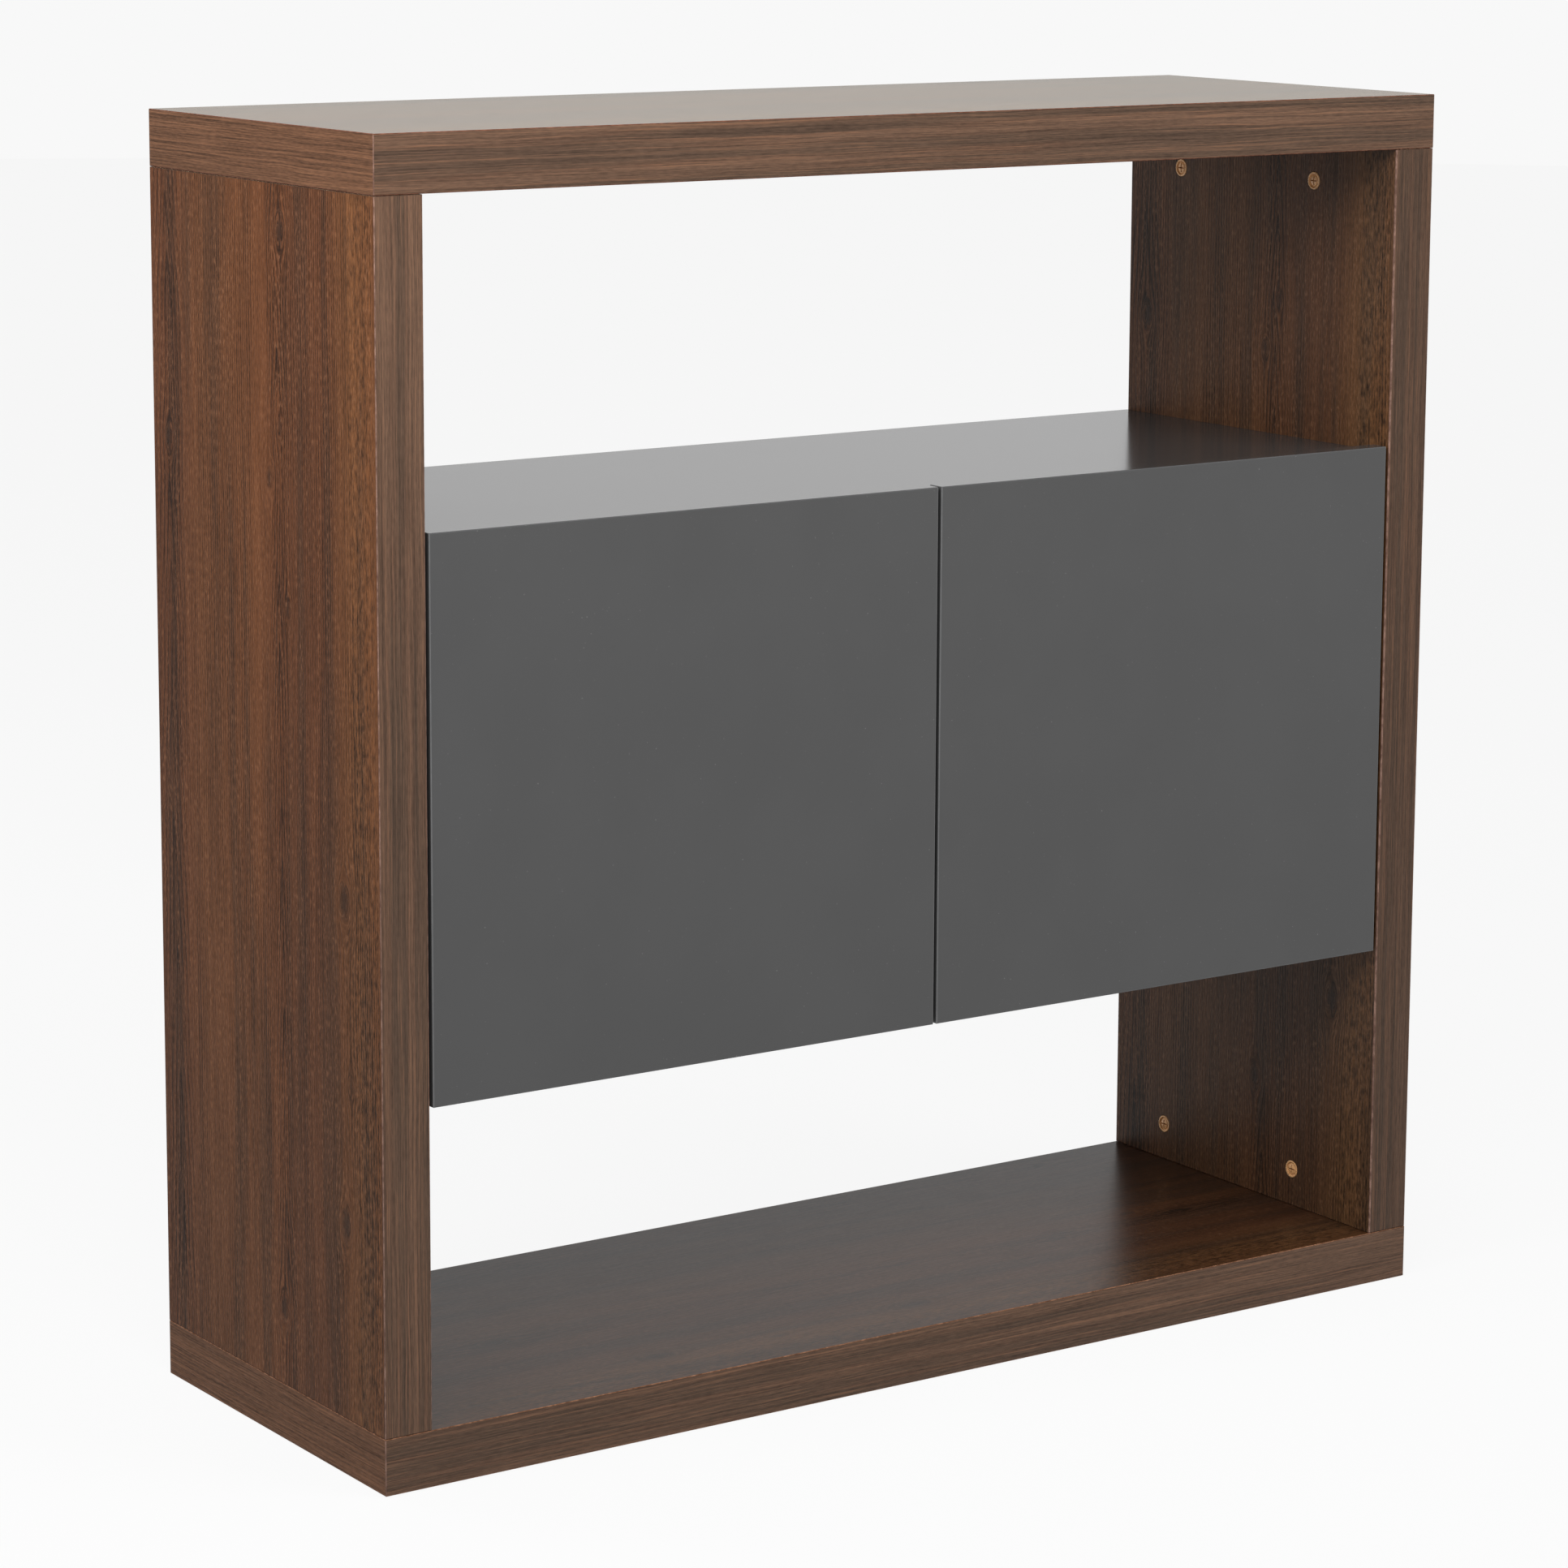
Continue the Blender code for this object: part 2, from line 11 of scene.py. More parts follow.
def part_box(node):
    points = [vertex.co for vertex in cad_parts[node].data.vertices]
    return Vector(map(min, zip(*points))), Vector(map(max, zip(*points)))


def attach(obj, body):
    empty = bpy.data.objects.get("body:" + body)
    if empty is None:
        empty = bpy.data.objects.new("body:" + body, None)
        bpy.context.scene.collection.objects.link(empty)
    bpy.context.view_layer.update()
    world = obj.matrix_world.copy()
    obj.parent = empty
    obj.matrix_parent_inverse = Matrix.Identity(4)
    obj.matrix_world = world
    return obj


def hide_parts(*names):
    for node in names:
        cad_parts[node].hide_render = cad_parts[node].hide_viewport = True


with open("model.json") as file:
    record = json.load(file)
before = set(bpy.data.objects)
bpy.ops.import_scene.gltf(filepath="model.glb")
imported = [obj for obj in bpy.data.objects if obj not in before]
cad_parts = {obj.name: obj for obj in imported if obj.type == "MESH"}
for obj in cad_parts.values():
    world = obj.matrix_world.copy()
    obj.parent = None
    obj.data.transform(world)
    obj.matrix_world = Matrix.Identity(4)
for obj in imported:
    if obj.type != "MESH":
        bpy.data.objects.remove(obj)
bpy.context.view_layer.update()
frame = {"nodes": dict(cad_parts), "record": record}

MM = 1000.0                     # the wood patterns are written in millimetres
SIDES = {"left": -1, "right": 1}
ENDS = ("bottom", "top")
PLACES = ("front", "back")
LEVELS = ("lower", "upper")
AXES = "XYZ"


# ---- Node materials ----
class Graph:
    """A material's node tree, with short calls for the nodes used here."""

    def __init__(self, name):
        self.material = bpy.data.materials.new(name)
        self.material.use_nodes = True
        self.tree = self.material.node_tree
        self.shader = self.tree.nodes["Principled BSDF"]
        self.coordinates = self.tree.nodes.new("ShaderNodeTexCoord")
        self.split = self.tree.nodes.new("ShaderNodeSeparateXYZ")
        self.tree.links.new(self.coordinates.outputs["Object"], self.split.inputs[0])

    def feed(self, socket, value):
        if isinstance(value, bpy.types.NodeSocket):
            self.tree.links.new(value, socket)
        elif isinstance(value, tuple) and len(value) == 3 and socket.type == "RGBA":
            socket.default_value = (*value, 1.0)
        else:
            socket.default_value = value

    def axis(self, letter):
        """One object coordinate, in millimetres."""
        return self.math("MULTIPLY", self.split.outputs[letter], MM)

    def math(self, operation, first, second=0.0, third=0.0):
        node = self.tree.nodes.new("ShaderNodeMath")
        node.operation = operation
        for socket, value in zip(node.inputs, (first, second, third)):
            self.feed(socket, value)
        return node.outputs[0]

    def vector(self, x, y, z=0.0):
        node = self.tree.nodes.new("ShaderNodeCombineXYZ")
        for socket, value in zip(node.inputs, (x, y, z)):
            self.feed(socket, value)
        return node.outputs[0]

    def place(self, *parts):
        """A spot in a texture from (coordinate, cell size) pairs or plain layer numbers."""
        return self.vector(*(self.math("DIVIDE", *part) if isinstance(part, tuple) else part
                             for part in parts))

    def cells(self, *sizes):
        """A spot in a texture whose cells have these sizes along X, Y and Z, in millimetres."""
        return self.place(*zip((self.axis(letter) for letter in AXES), sizes))

    def noise(self, vector, detail=2.0, roughness=0.5, distortion=0.0):
        node = self.tree.nodes.new("ShaderNodeTexNoise")
        self.feed(node.inputs["Vector"], vector)
        node.inputs["Scale"].default_value = 1.0
        node.inputs["Detail"].default_value = detail
        node.inputs["Roughness"].default_value = roughness
        node.inputs["Distortion"].default_value = distortion
        return node.outputs["Fac"]

    def wave(self, vector, detail=2.0, roughness=0.5):
        """Noise stretched to run from -1 to 1."""
        return self.spread(self.noise(vector, detail, roughness), 0.3, 0.7, -1.0, 1.0)

    def spread(self, value, low, high, start=0.0, end=1.0):
        """A soft step from start to end as the value goes from low to high."""
        node = self.tree.nodes.new("ShaderNodeMapRange")
        node.interpolation_type = "SMOOTHSTEP"
        for name, given in (("Value", value), ("From Min", low), ("From Max", high),
                            ("To Min", start), ("To Max", end)):
            self.feed(node.inputs[name], given)
        return node.outputs["Result"]

    def ring(self, phase):
        """Growth rings: once per unit, a slow darkening that ends sharply."""
        part = self.math("FRACT", phase)
        return self.math("MULTIPLY", self.spread(part, 0.42, 0.90), self.spread(part, 1.0, 0.92))

    def ramp(self, factor, stops):
        node = self.tree.nodes.new("ShaderNodeValToRGB")
        self.feed(node.inputs[0], factor)
        points = node.color_ramp.elements
        while len(points) < len(stops):
            points.new(1.0)
        for point, (place, color) in zip(points, stops):
            point.position = place
            point.color = (*color, 1.0)
        return node.outputs["Color"]

    def scale(self, color, factor):
        node = self.tree.nodes.new("ShaderNodeVectorMath")
        node.operation = "SCALE"
        self.feed(node.inputs[0], color)
        self.feed(node.inputs["Scale"], factor)
        return node.outputs[0]

    def mix(self, factor, first, second):
        node = self.tree.nodes.new("ShaderNodeMix")
        node.data_type = "RGBA"
        self.feed(node.inputs[0], factor)
        self.feed(node.inputs[6], first)
        self.feed(node.inputs[7], second)
        return node.outputs[2]

    def bump(self, height, distance):
        node = self.tree.nodes.new("ShaderNodeBump")
        node.inputs["Strength"].default_value = 1.0
        node.inputs["Distance"].default_value = distance
        self.feed(node.inputs["Height"], height)
        self.feed(self.shader.inputs["Normal"], node.outputs[0])

    def set(self, **values):
        for name, value in values.items():
            self.feed(self.shader.inputs[name.replace("_", " ")], value)


# Wood tones, in linear colour
KNOT_WOOD = (0.0100, 0.0056, 0.0038)
TAN_WOOD = (0.150, 0.068, 0.034)
GREY_WOOD = (0.034, 0.0205, 0.0125)
GOLD_WOOD = (0.080, 0.036, 0.018)
FACE_TONES = (
    (0.00, (0.064, 0.0225, 0.0090)), (0.13, (0.072, 0.0255, 0.0098)), (0.22, (0.074, 0.0275, 0.0102)),
    (0.45, (0.078, 0.0280, 0.0098)), (0.58, (0.076, 0.0262, 0.0092)), (0.66, (0.060, 0.0215, 0.0085)),
    (0.78, (0.063, 0.0225, 0.0087)), (0.90, (0.083, 0.0325, 0.0113)), (1.00, (0.074, 0.0275, 0.0096)))
BAND_TONES = (
    (0.0, (0.050, 0.0298, 0.0194)), (0.35, (0.057, 0.0332, 0.0212)), (0.6, (0.060, 0.0328, 0.0204)),
    (1.0, (0.072, 0.0405, 0.0254)))
CORE_TONES = (
    (0.0, (0.060, 0.030, 0.021)), (0.5, (0.110, 0.062, 0.046)), (1.0, (0.170, 0.100, 0.076)))
CHIP_TONES = ((0.0, (0.16, 0.09, 0.05)), (0.5, (0.38, 0.25, 0.14)), (1.0, (0.55, 0.40, 0.25)))
BOARD_DEPTH = 348.0             # the foil's width, from the rear edge to the front, in mm
FOIL_LENGTH = 1000.0            # the knots repeat along the foil after this
BAND_START, BAND_END = 300.0, 346.0     # the mottled band, from the rear edge

# Knots in the foil: distance from the rear edge, height, half width
KNOTS = ((26.0, 758.0, 6.5), (208.0, 929.0, 7.0), (205.0, 785.0, 4.5), (187.0, 744.0, 5.0),
         (213.0, 649.0, 4.5), (294.0, 442.0, 8.0), (302.0, 303.0, 4.5), (292.0, 195.0, 8.0),
         (194.0, 106.0, 6.5))
KNOT_STRETCH = 2.3              # a knot is this much longer along the grain than across it
KNOT_PUSH = 1.3                 # how far the grain bends round a knot
# Heart lines: distance from the rear edge, half width, ring pitch, arch pitch, sway, strength
HEARTS = ((27.0, 27.0, 6.2, 105.0, 2.6, 0.66), (203.0, 16.0, 4.2, 58.0, 1.8, 0.62))


def walnut_face(name, along_axis, seed, shift=0.0, shade=1.0, rough=0.42, ior=1.12, figure=1.0,
                relief=1.0):
    """Printed walnut foil: heart lines with arches and eyes, knots, and a mottled front band.

    A figure below 1 gives a calmer print, and a relief below 1 a smoother surface.
    """
    g = Graph(name)
    along = g.math("ADD", g.axis(along_axis), shift)
    depth = g.math("SUBTRACT", BOARD_DEPTH / 2, g.axis("Y"))
    wobble = g.noise(g.place((depth, 20.0), (along, 230.0), seed + 3.0), 2.0)
    flow = g.math("MULTIPLY_ADD", g.math("SUBTRACT", wobble, 0.5), 4.0, depth)
    height = g.math("WRAP", along, 0.0, FOIL_LENGTH)
    dark = None
    for knot_depth, knot_height, size in KNOTS:
        off = g.math("SUBTRACT", depth, knot_depth)
        lift = g.math("DIVIDE", g.math("SUBTRACT", height, knot_height), KNOT_STRETCH)
        reach = g.math("MULTIPLY_ADD", off, off, g.math("MULTIPLY_ADD", lift, lift, 2.0 * size))
        push = g.math("DIVIDE", g.math("MULTIPLY", off, KNOT_PUSH * size * size), reach)
        flow = g.math("SUBTRACT", flow, push)
        core = g.spread(g.math("SQRT", reach), size * 1.25, size * 0.45)
        dark = core if dark is None else g.math("MAXIMUM", dark, core)

    bands = g.wave(g.place((flow, 22.0), (along, 620.0), seed + 5.0), 3.0)
    streaks = g.wave(g.place((flow, 5.2), (along, 190.0), seed + 7.0), 3.0, 0.6)
    fibres = g.wave(g.place((flow, 1.7), (along, 34.0), seed), 3.0, 0.6)
    pores = g.wave(g.place((flow, 1.2), (along, 5.5), seed + 9.0))

    color = g.ramp(g.math("DIVIDE", flow, BOARD_DEPTH), scaled(FACE_TONES, shade))
    color = g.mix(g.spread(bands, 0.1, -0.9, 0.0, 0.30), color, toned(GREY_WOOD, shade))
    # Greyer towards the start of the board: low on the side panels, towards the left end of the slabs
    color = g.mix(g.spread(along, 700.0, 50.0, 0.0, 0.20), color, toned(GREY_WOOD, shade))
    light = g.math("MULTIPLY_ADD", bands, 0.12 * figure, 1.0)
    light = g.math("MULTIPLY_ADD", streaks, 0.12 * figure, light)
    light = g.math("MULTIPLY_ADD", fibres, 0.13 * figure, light)
    light = g.math("MULTIPLY_ADD", pores, 0.20 * figure, light)

    # Straight growth rings that bend round the knots and fade in and out across the board
    bend = g.noise(g.place((along, 260.0), (depth, 45.0), seed + 29.0), 1.0)
    shown = g.noise(g.place((depth, 30.0), (along, 500.0), seed + 27.0), 2.0)
    rings = g.ring(g.math("MULTIPLY_ADD", bend, 3.0, g.math("DIVIDE", flow, 3.4)))
    rings = g.math("MULTIPLY", rings, g.spread(shown, 0.38, 0.60, 0.10, 0.58))
    light = g.math("MULTIPLY_ADD", rings, -figure, light)

    # The mottled band by the front edge has short blotches of gold and brown
    blotches = g.wave(g.place((flow, 3.4), (along, 11.0), seed + 13.0), 3.0, 0.65)
    in_band = g.math("MULTIPLY", g.spread(flow, BAND_START, BAND_START + 12.0),
                     g.spread(flow, BAND_END, BAND_END - 8.0))
    light = g.math("MULTIPLY_ADD", g.math("MULTIPLY", blotches, in_band), 0.42 * figure, light)

    for number, (heart_depth, half, pitch, arch, sway, strength) in enumerate(HEARTS):
        wander = g.noise(g.place((along, 330.0), 3.7 * number, seed + 17.0), 1.0)
        wandered = g.math("MULTIPLY_ADD", g.math("SUBTRACT", wander, 0.5), 22.0, flow)
        off = g.math("SUBTRACT", wandered, heart_depth)
        swaying = g.noise(g.place((along, 130.0), 5.1 * number, seed + 19.0), 1.0)
        rise = g.math("MULTIPLY_ADD", swaying, sway, g.math("DIVIDE", along, arch))
        tip = g.math("SQRT", g.math("MULTIPLY_ADD", off, off, 2.0))
        arches = g.ring(g.math("ADD", g.math("DIVIDE", tip, pitch), rise))
        near = g.spread(g.math("ABSOLUTE", off), half, half * 0.55)
        deep = g.spread(g.math("ABSOLUTE", off), half * 0.6, 0.0, 0.0, 0.14)
        fade = g.noise(g.place((along, 85.0), 2.3 * number, seed + 23.0), 1.0)
        arches = g.math("MULTIPLY", arches, near)
        arches = g.math("MULTIPLY", arches, g.spread(fade, 0.38, 0.58, 0.55, 1.0))
        middle = g.math("MULTIPLY", deep, g.spread(fade, 0.4, 0.6))
        darkening = g.math("MULTIPLY_ADD", arches, strength, middle)
        light = g.math("MULTIPLY", light, g.math("MULTIPLY_ADD", darkening, -figure, 1.0))

    color = g.scale(color, g.math("MAXIMUM", light, 0.15))
    flecks = g.math("MULTIPLY", g.spread(pores, 0.25, 0.9), g.spread(streaks, -0.4, 0.8, 0.05, 0.42))
    color = g.mix(g.math("MULTIPLY", flecks, figure), color, toned(TAN_WOOD, shade))
    color = g.mix(g.math("MULTIPLY", dark, 0.65), color, toned(KNOT_WOOD, shade))
    return foil_surface(g, color, fibres, pores, rough, ior, relief)


def walnut_band(name, along_axis, across_axis, seed, shade=1.0, gold=0.0, contrast=1.0, ior=1.24):
    """Edge band: straight close grain with tan lines, as wide as the board is thick."""
    g = Graph(name)
    along, across = g.axis(along_axis), g.axis(across_axis)
    wobble = g.noise(g.place((across, 20.0), (along, 120.0), seed))
    flow = g.math("MULTIPLY_ADD", g.math("SUBTRACT", wobble, 0.5), 4.0, across)
    bands = g.wave(g.place((flow, 9.0), (along, 640.0), seed + 2.0), 1.0, 0.5)
    lines = g.wave(g.place((flow, 1.6), (along, 420.0), seed + 4.0), 3.0, 0.7)
    fibres = g.wave(g.place((flow, 1.1), (along, 60.0), seed), 3.0, 0.6)
    pores = g.wave(g.place((flow, 1.0), (along, 8.0), seed + 9.0))
    color = g.ramp(g.spread(bands, -1.0, 1.0), scaled(BAND_TONES, shade))
    color = g.mix(gold, color, toned(GOLD_WOOD, shade))
    light = g.math("MULTIPLY_ADD", lines, 0.26 * contrast, 1.0)
    light = g.math("MULTIPLY_ADD", fibres, 0.20 * contrast, light)
    light = g.math("MULTIPLY_ADD", pores, 0.14 * contrast, light)
    color = g.scale(color, g.math("MAXIMUM", light, 0.2))
    flecks = g.math("MULTIPLY", g.spread(lines, 0.0, 0.9), g.spread(fibres, 0.1, 0.8, 0.1, 0.42))
    color = g.mix(flecks, color, toned(TAN_WOOD, shade))
    return foil_surface(g, color, fibres, pores, 0.44, ior)


def foil_surface(g, color, fibres, pores, rough, ior, relief=1.0):
    """Base colour and IOR, with roughness and bump that follow the fibres."""
    g.set(Base_Color=color, IOR=ior)
    grainy = g.math("MULTIPLY_ADD", pores, 0.5, fibres)
    vary = 0.05 * math.sqrt(relief)
    g.set(Roughness=g.spread(grainy, -1.2, 1.2, rough + vary, rough - vary))
    g.bump(grainy, 0.00005 * relief)
    return g.material


def toned(color, shade):
    """The colour times one number, or times a number for each of red, green and blue."""
    shades = shade if isinstance(shade, tuple) else (shade,) * 3
    return tuple(part * share for part, share in zip(color, shades))


def scaled(tones, shade):
    return tuple((place, toned(color, shade)) for place, color in tones)


def band_core(name, shade=1.0, ior=1.3):
    """The pinkish core that shows along a rounded arris."""
    g = Graph(name)
    spots = g.noise(g.cells(5.0, 5.0, 9.0), 4.0, 0.65)
    color = g.ramp(g.spread(spots, 0.3, 0.7), scaled(CORE_TONES, shade))
    g.set(Base_Color=color, Roughness=g.spread(spots, 0.3, 0.7, 0.5, 0.36), IOR=ior)
    g.bump(spots, 0.0001)
    return g.material


DUST_GREY = (0.16, 0.16, 0.155)
SCUFF_AND_GLINT_GREY = (0.20, 0.20, 0.20)
PALE_GRIT = (0.9, 0.85, 0.75)


def lacquer(name, color, rough, peel=0.00002, wear_and_glint=0.0, ior=1.5):
    """Sprayed lacquer: an even colour with faint clouds, fine orange peel and a few dust nibs."""
    g = Graph(name)
    clouds = g.noise(g.cells(90.0, 90.0, 120.0), 4.0, 0.55)
    skin = g.noise(g.cells(0.9, 0.9, 0.9), 2.0, 0.5)
    dust = g.noise(g.cells(1.6, 1.6, 1.6), 1.0, 0.5)
    light = tuple(min(1.0, c * 1.03) for c in color)
    dark = tuple(c * 0.97 for c in color)
    base = g.mix(g.spread(clouds, 0.35, 0.65), dark, light)
    base = g.mix(g.spread(skin, 0.35, 0.7, 0.0, 0.10), base, light)
    base = g.mix(g.spread(dust, 0.79, 0.81, 0.0, 0.8), base, DUST_GREY)
    # Pale scuffs for the arrises: some wear, and partly a painted highlight along the rounded edge
    if wear_and_glint:
        scuffs_and_glints = g.noise(g.cells(4.0, 4.0, 7.0), 5.0, 0.7)
        base = g.mix(g.spread(scuffs_and_glints, 0.4, 0.7, wear_and_glint * 0.4, wear_and_glint), base, SCUFF_AND_GLINT_GREY)
    g.set(Base_Color=base, IOR=ior,
          Roughness=g.spread(skin, 0.35, 0.65, rough + 0.01, rough - 0.01))
    g.bump(skin, peel)
    return g.material


def plated(name, color, rough, line_axis="Z"):
    """Plated sheet steel: fine drawing lines, cloudy plating and small dull patches."""
    g = Graph(name)
    line_cells = (18.0 if letter == line_axis else 0.35 for letter in AXES)
    lines = g.noise(g.cells(*line_cells), 3.0, 0.6)
    patches = g.noise(g.cells(6.0, 6.0, 6.0), 4.0, 0.6)
    dull = tuple(c * 0.72 for c in color)
    base = g.mix(g.spread(patches, 0.38, 0.66), dull, color)
    base = g.mix(g.spread(lines, 0.35, 0.65, 0.0, 0.22), base, dull)
    g.set(Base_Color=base, Metallic=0.6,
          Roughness=g.spread(patches, 0.35, 0.7, rough + 0.10, rough - 0.04))
    g.bump(lines, 0.00003)
    return g.material


def moulded(name, color, rough, flecks=0.10):
    """Moulded plastic: a fine spark-eroded texture with slightly uneven colour."""
    g = Graph(name)
    grit = g.noise(g.cells(0.35, 0.35, 0.35), 3.0, 0.6)
    uneven = g.noise(g.cells(5.0, 5.0, 5.0), 4.0, 0.6)
    base = g.mix(g.spread(uneven, 0.35, 0.7), tuple(c * 0.82 for c in color), color)
    base = g.mix(g.spread(grit, 0.5, 0.75, 0.0, flecks), base, PALE_GRIT)
    g.set(Base_Color=base, Roughness=g.spread(uneven, 0.35, 0.7, rough + 0.06, rough - 0.04))
    g.bump(grit, 0.00004)
    return g.material


def chipboard(name):
    """The raw core seen inside bores: pressed chips of several browns."""
    g = Graph(name)
    chips = g.noise(g.cells(1.8, 1.8, 0.8), 3.0, 0.7, 0.6)
    color = g.ramp(g.spread(chips, 0.3, 0.7), CHIP_TONES)
    g.set(Base_Color=color, Roughness=g.spread(chips, 0.3, 0.7, 0.9, 0.75))
    g.bump(chips, 0.0003)
    return g.material


CHARCOAL = (0.026, 0.026, 0.0262)
DOOR_GREY = (0.0340, 0.0340, 0.0341)
CORE = chipboard("chipboard_core")
BAND_CORE = band_core("band_core")
# The side panels' level arrises, where their ends meet the slabs, take a dark core tone: a painted
# shadow line along the joints
JOINT_SHADOW_ARRIS = band_core("joint_shadow_arris", 0.30, 1.08)
SLAB_ARRISES = {"top": band_core("red_arris", (0.75, 0.52, 0.42), 1.1),
                "bottom": band_core("tan_arris", (1.18, 1.00, 0.76), 1.1)}
NICKEL = plated("nickel_plate", (0.62, 0.61, 0.58), 0.34)
ZINC = plated("zinc_plate", (0.58, 0.60, 0.62), 0.38, "X")
SCREW_STEEL = plated("screw_steel", (0.56, 0.56, 0.54), 0.30, "Y")
CAM_PLASTIC = moulded("cam_tan", (0.57, 0.30, 0.125), 0.36, 0.06)
LATCH_PLASTIC = moulded("latch_grey", (0.17, 0.17, 0.165), 0.45, 0.05)
LATCH_TIP = moulded("latch_tip", (0.05, 0.05, 0.05), 0.4, 0.05)
DOOR_PAINT = lacquer("door_lacquer", DOOR_GREY, 0.44)
# The doors' upright arrises are a paler grey than the doors, with pale scuffs: a painted highlight
# along the rounded edges, partly wear
DOOR_ARRIS_HIGHLIGHT = lacquer("door_arris_painted_highlight", (0.060, 0.060, 0.061), 0.38, wear_and_glint=0.12)
CABINET_PAINT = lacquer("cabinet_lacquer", CHARCOAL, 0.17, peel=0.000006, ior=1.415)
# The cabinet's arrises and the doors' level arrises are paler than the charcoal: a fainter painted
# highlight, with a little wear
CABINET_ARRIS_HIGHLIGHT = lacquer("cabinet_arris_painted_highlight", (0.045, 0.045, 0.046), 0.25, wear_and_glint=0.08)
CABINET_HIGHLIGHT_ARRISES = (CABINET_ARRIS_HIGHLIGHT, CABINET_ARRIS_HIGHLIGHT)
INNER_PAINT = lacquer("inner_lacquer", CHARCOAL, 0.40)


# ---- Meshes ----
EDGE_TOLERANCE = 0.00001
FLAT = 0.999                    # a face with a normal this straight is a board's flat face
UPRIGHT = 0.05                  # a normal that leans less than this belongs to an upright arris
UPRIGHT_SLOT, LEVEL_SLOT = 3, 4         # places of the arrises' materials, after the flat faces'


def new_object(name, shape, materials):
    """An object whose mesh holds world coordinates."""
    mesh = bpy.data.meshes.new(name)
    shape.to_mesh(mesh)
    shape.free()
    for given in materials:
        mesh.materials.append(given)
    made = bpy.data.objects.new(name, mesh)
    bpy.context.scene.collection.objects.link(made)
    return made


def body_with(node):
    for body, nodes in frame["record"]["behaviour"]["bodies"].items():
        if node in nodes:
            return body
    raise ValueError(node)


def stand_for(piece, node):
    """The piece takes a CAD node's place and rides on its body."""
    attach(piece, body_with(node))
    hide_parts(node)
    return piece


def smooth(piece, angle=35.0):
    piece.data.shade_smooth()
    piece.data.set_sharp_from_angle(angle=math.radians(angle))


def soften_normals(piece):
    """Flat faces keep their own normal, so only the rounded arrises shade round."""
    piece.data.shade_smooth()
    weighted = piece.modifiers.new("normals", "WEIGHTED_NORMAL")
    weighted.mode = "FACE_AREA"
    weighted.weight = 100


def rounded_box(low, high, upright_radius, level_radius):
    """A board with its upright arrises rounded first, then the arrises of its top and bottom."""
    shape = bmesh.new()
    bmesh.ops.create_cube(shape, size=1.0)
    bmesh.ops.scale(shape, verts=shape.verts, vec=high - low)
    bmesh.ops.translate(shape, verts=shape.verts, vec=(low + high) / 2)
    upright = [edge for edge in shape.edges
               if abs(edge.verts[0].co.z - edge.verts[1].co.z) > EDGE_TOLERANCE]
    bmesh.ops.bevel(shape, geom=upright, offset=upright_radius, segments=3, profile=0.5,
                    affect="EDGES")
    level = {edge for face in shape.faces if abs(face.normal.z) > FLAT for edge in face.edges}
    bmesh.ops.bevel(shape, geom=list(level), offset=level_radius, segments=3, profile=0.5,
                    affect="EDGES")
    return shape


def cut_away(piece, shapes):
    """Take shapes, given as bmeshes in world coordinates, out of a piece's mesh."""
    cutters = [new_object("cutter", shape, list(piece.data.materials)) for shape in shapes]
    for cutter in cutters:
        change = piece.modifiers.new("cut", "BOOLEAN")
        change.operation = "DIFFERENCE"
        change.object = cutter
    graph = bpy.context.evaluated_depsgraph_get()
    cut_mesh = bpy.data.meshes.new_from_object(piece.evaluated_get(graph))
    piece.modifiers.clear()
    piece.data = cut_mesh
    for cutter in cutters:
        bpy.data.objects.remove(cutter, do_unlink=True)


def drill(piece, holes):
    """Cut round holes, each given as (start, end, radius). Their walls take the last material."""
    shapes = []
    for start, end, radius in holes:
        start, end = Vector(start), Vector(end)
        turn = (end - start).to_track_quat("Z", "Y").to_matrix().to_4x4()
        shape = bmesh.new()
        bmesh.ops.create_cone(shape, cap_ends=True, segments=64, radius1=radius, radius2=radius,
                              depth=(end - start).length,
                              matrix=Matrix.Translation((start + end) / 2) @ turn)
        for face in shape.faces:
            face.material_index = len(piece.data.materials) - 1
        shapes.append(shape)
    cut_away(piece, shapes)


def board(name, node, faces, arrises, radii, holes=()):
    """A board with rounded arrises. faces maps the axis of each flat face to its material.

    The upright arrises come first in arrises and radii, then the level ones.
    """
    shape = rounded_box(*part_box(node), *radii)
    for face in shape.faces:
        face.material_index = UPRIGHT_SLOT if abs(face.normal.z) < UPRIGHT else LEVEL_SLOT
        for number in range(3):
            if abs(face.normal[number]) > FLAT:
                face.material_index = number
    piece = new_object(name, shape, [faces[letter] for letter in AXES] + [*arrises, CORE])
    if holes:
        drill(piece, holes)
    soften_normals(piece)
    return stand_for(piece, node)


def turned(name, profile, start, direction, material, segments=48):
    """A turned piece from (radius, distance along its axis) pairs."""
    turn = Vector(direction).to_track_quat("Z", "Y").to_matrix().to_4x4()
    to_world = Matrix.Translation(start) @ turn
    shape = bmesh.new()
    rings = []
    for radius, along in profile:
        angles = [2 * math.pi * step / segments for step in range(segments)]
        rings.append([shape.verts.new(to_world @ Vector((radius * math.cos(angle),
                                                         radius * math.sin(angle), along)))
                      for angle in angles])
    for first, second in zip(rings, rings[1:]):
        for step in range(segments):
            after = (step + 1) % segments
            shape.faces.new((first[step], first[after], second[after], second[step]))
    shape.faces.new(rings[0][::-1])
    shape.faces.new(rings[-1])
    bmesh.ops.recalc_face_normals(shape, faces=shape.faces)
    return new_object(name, shape, [material])


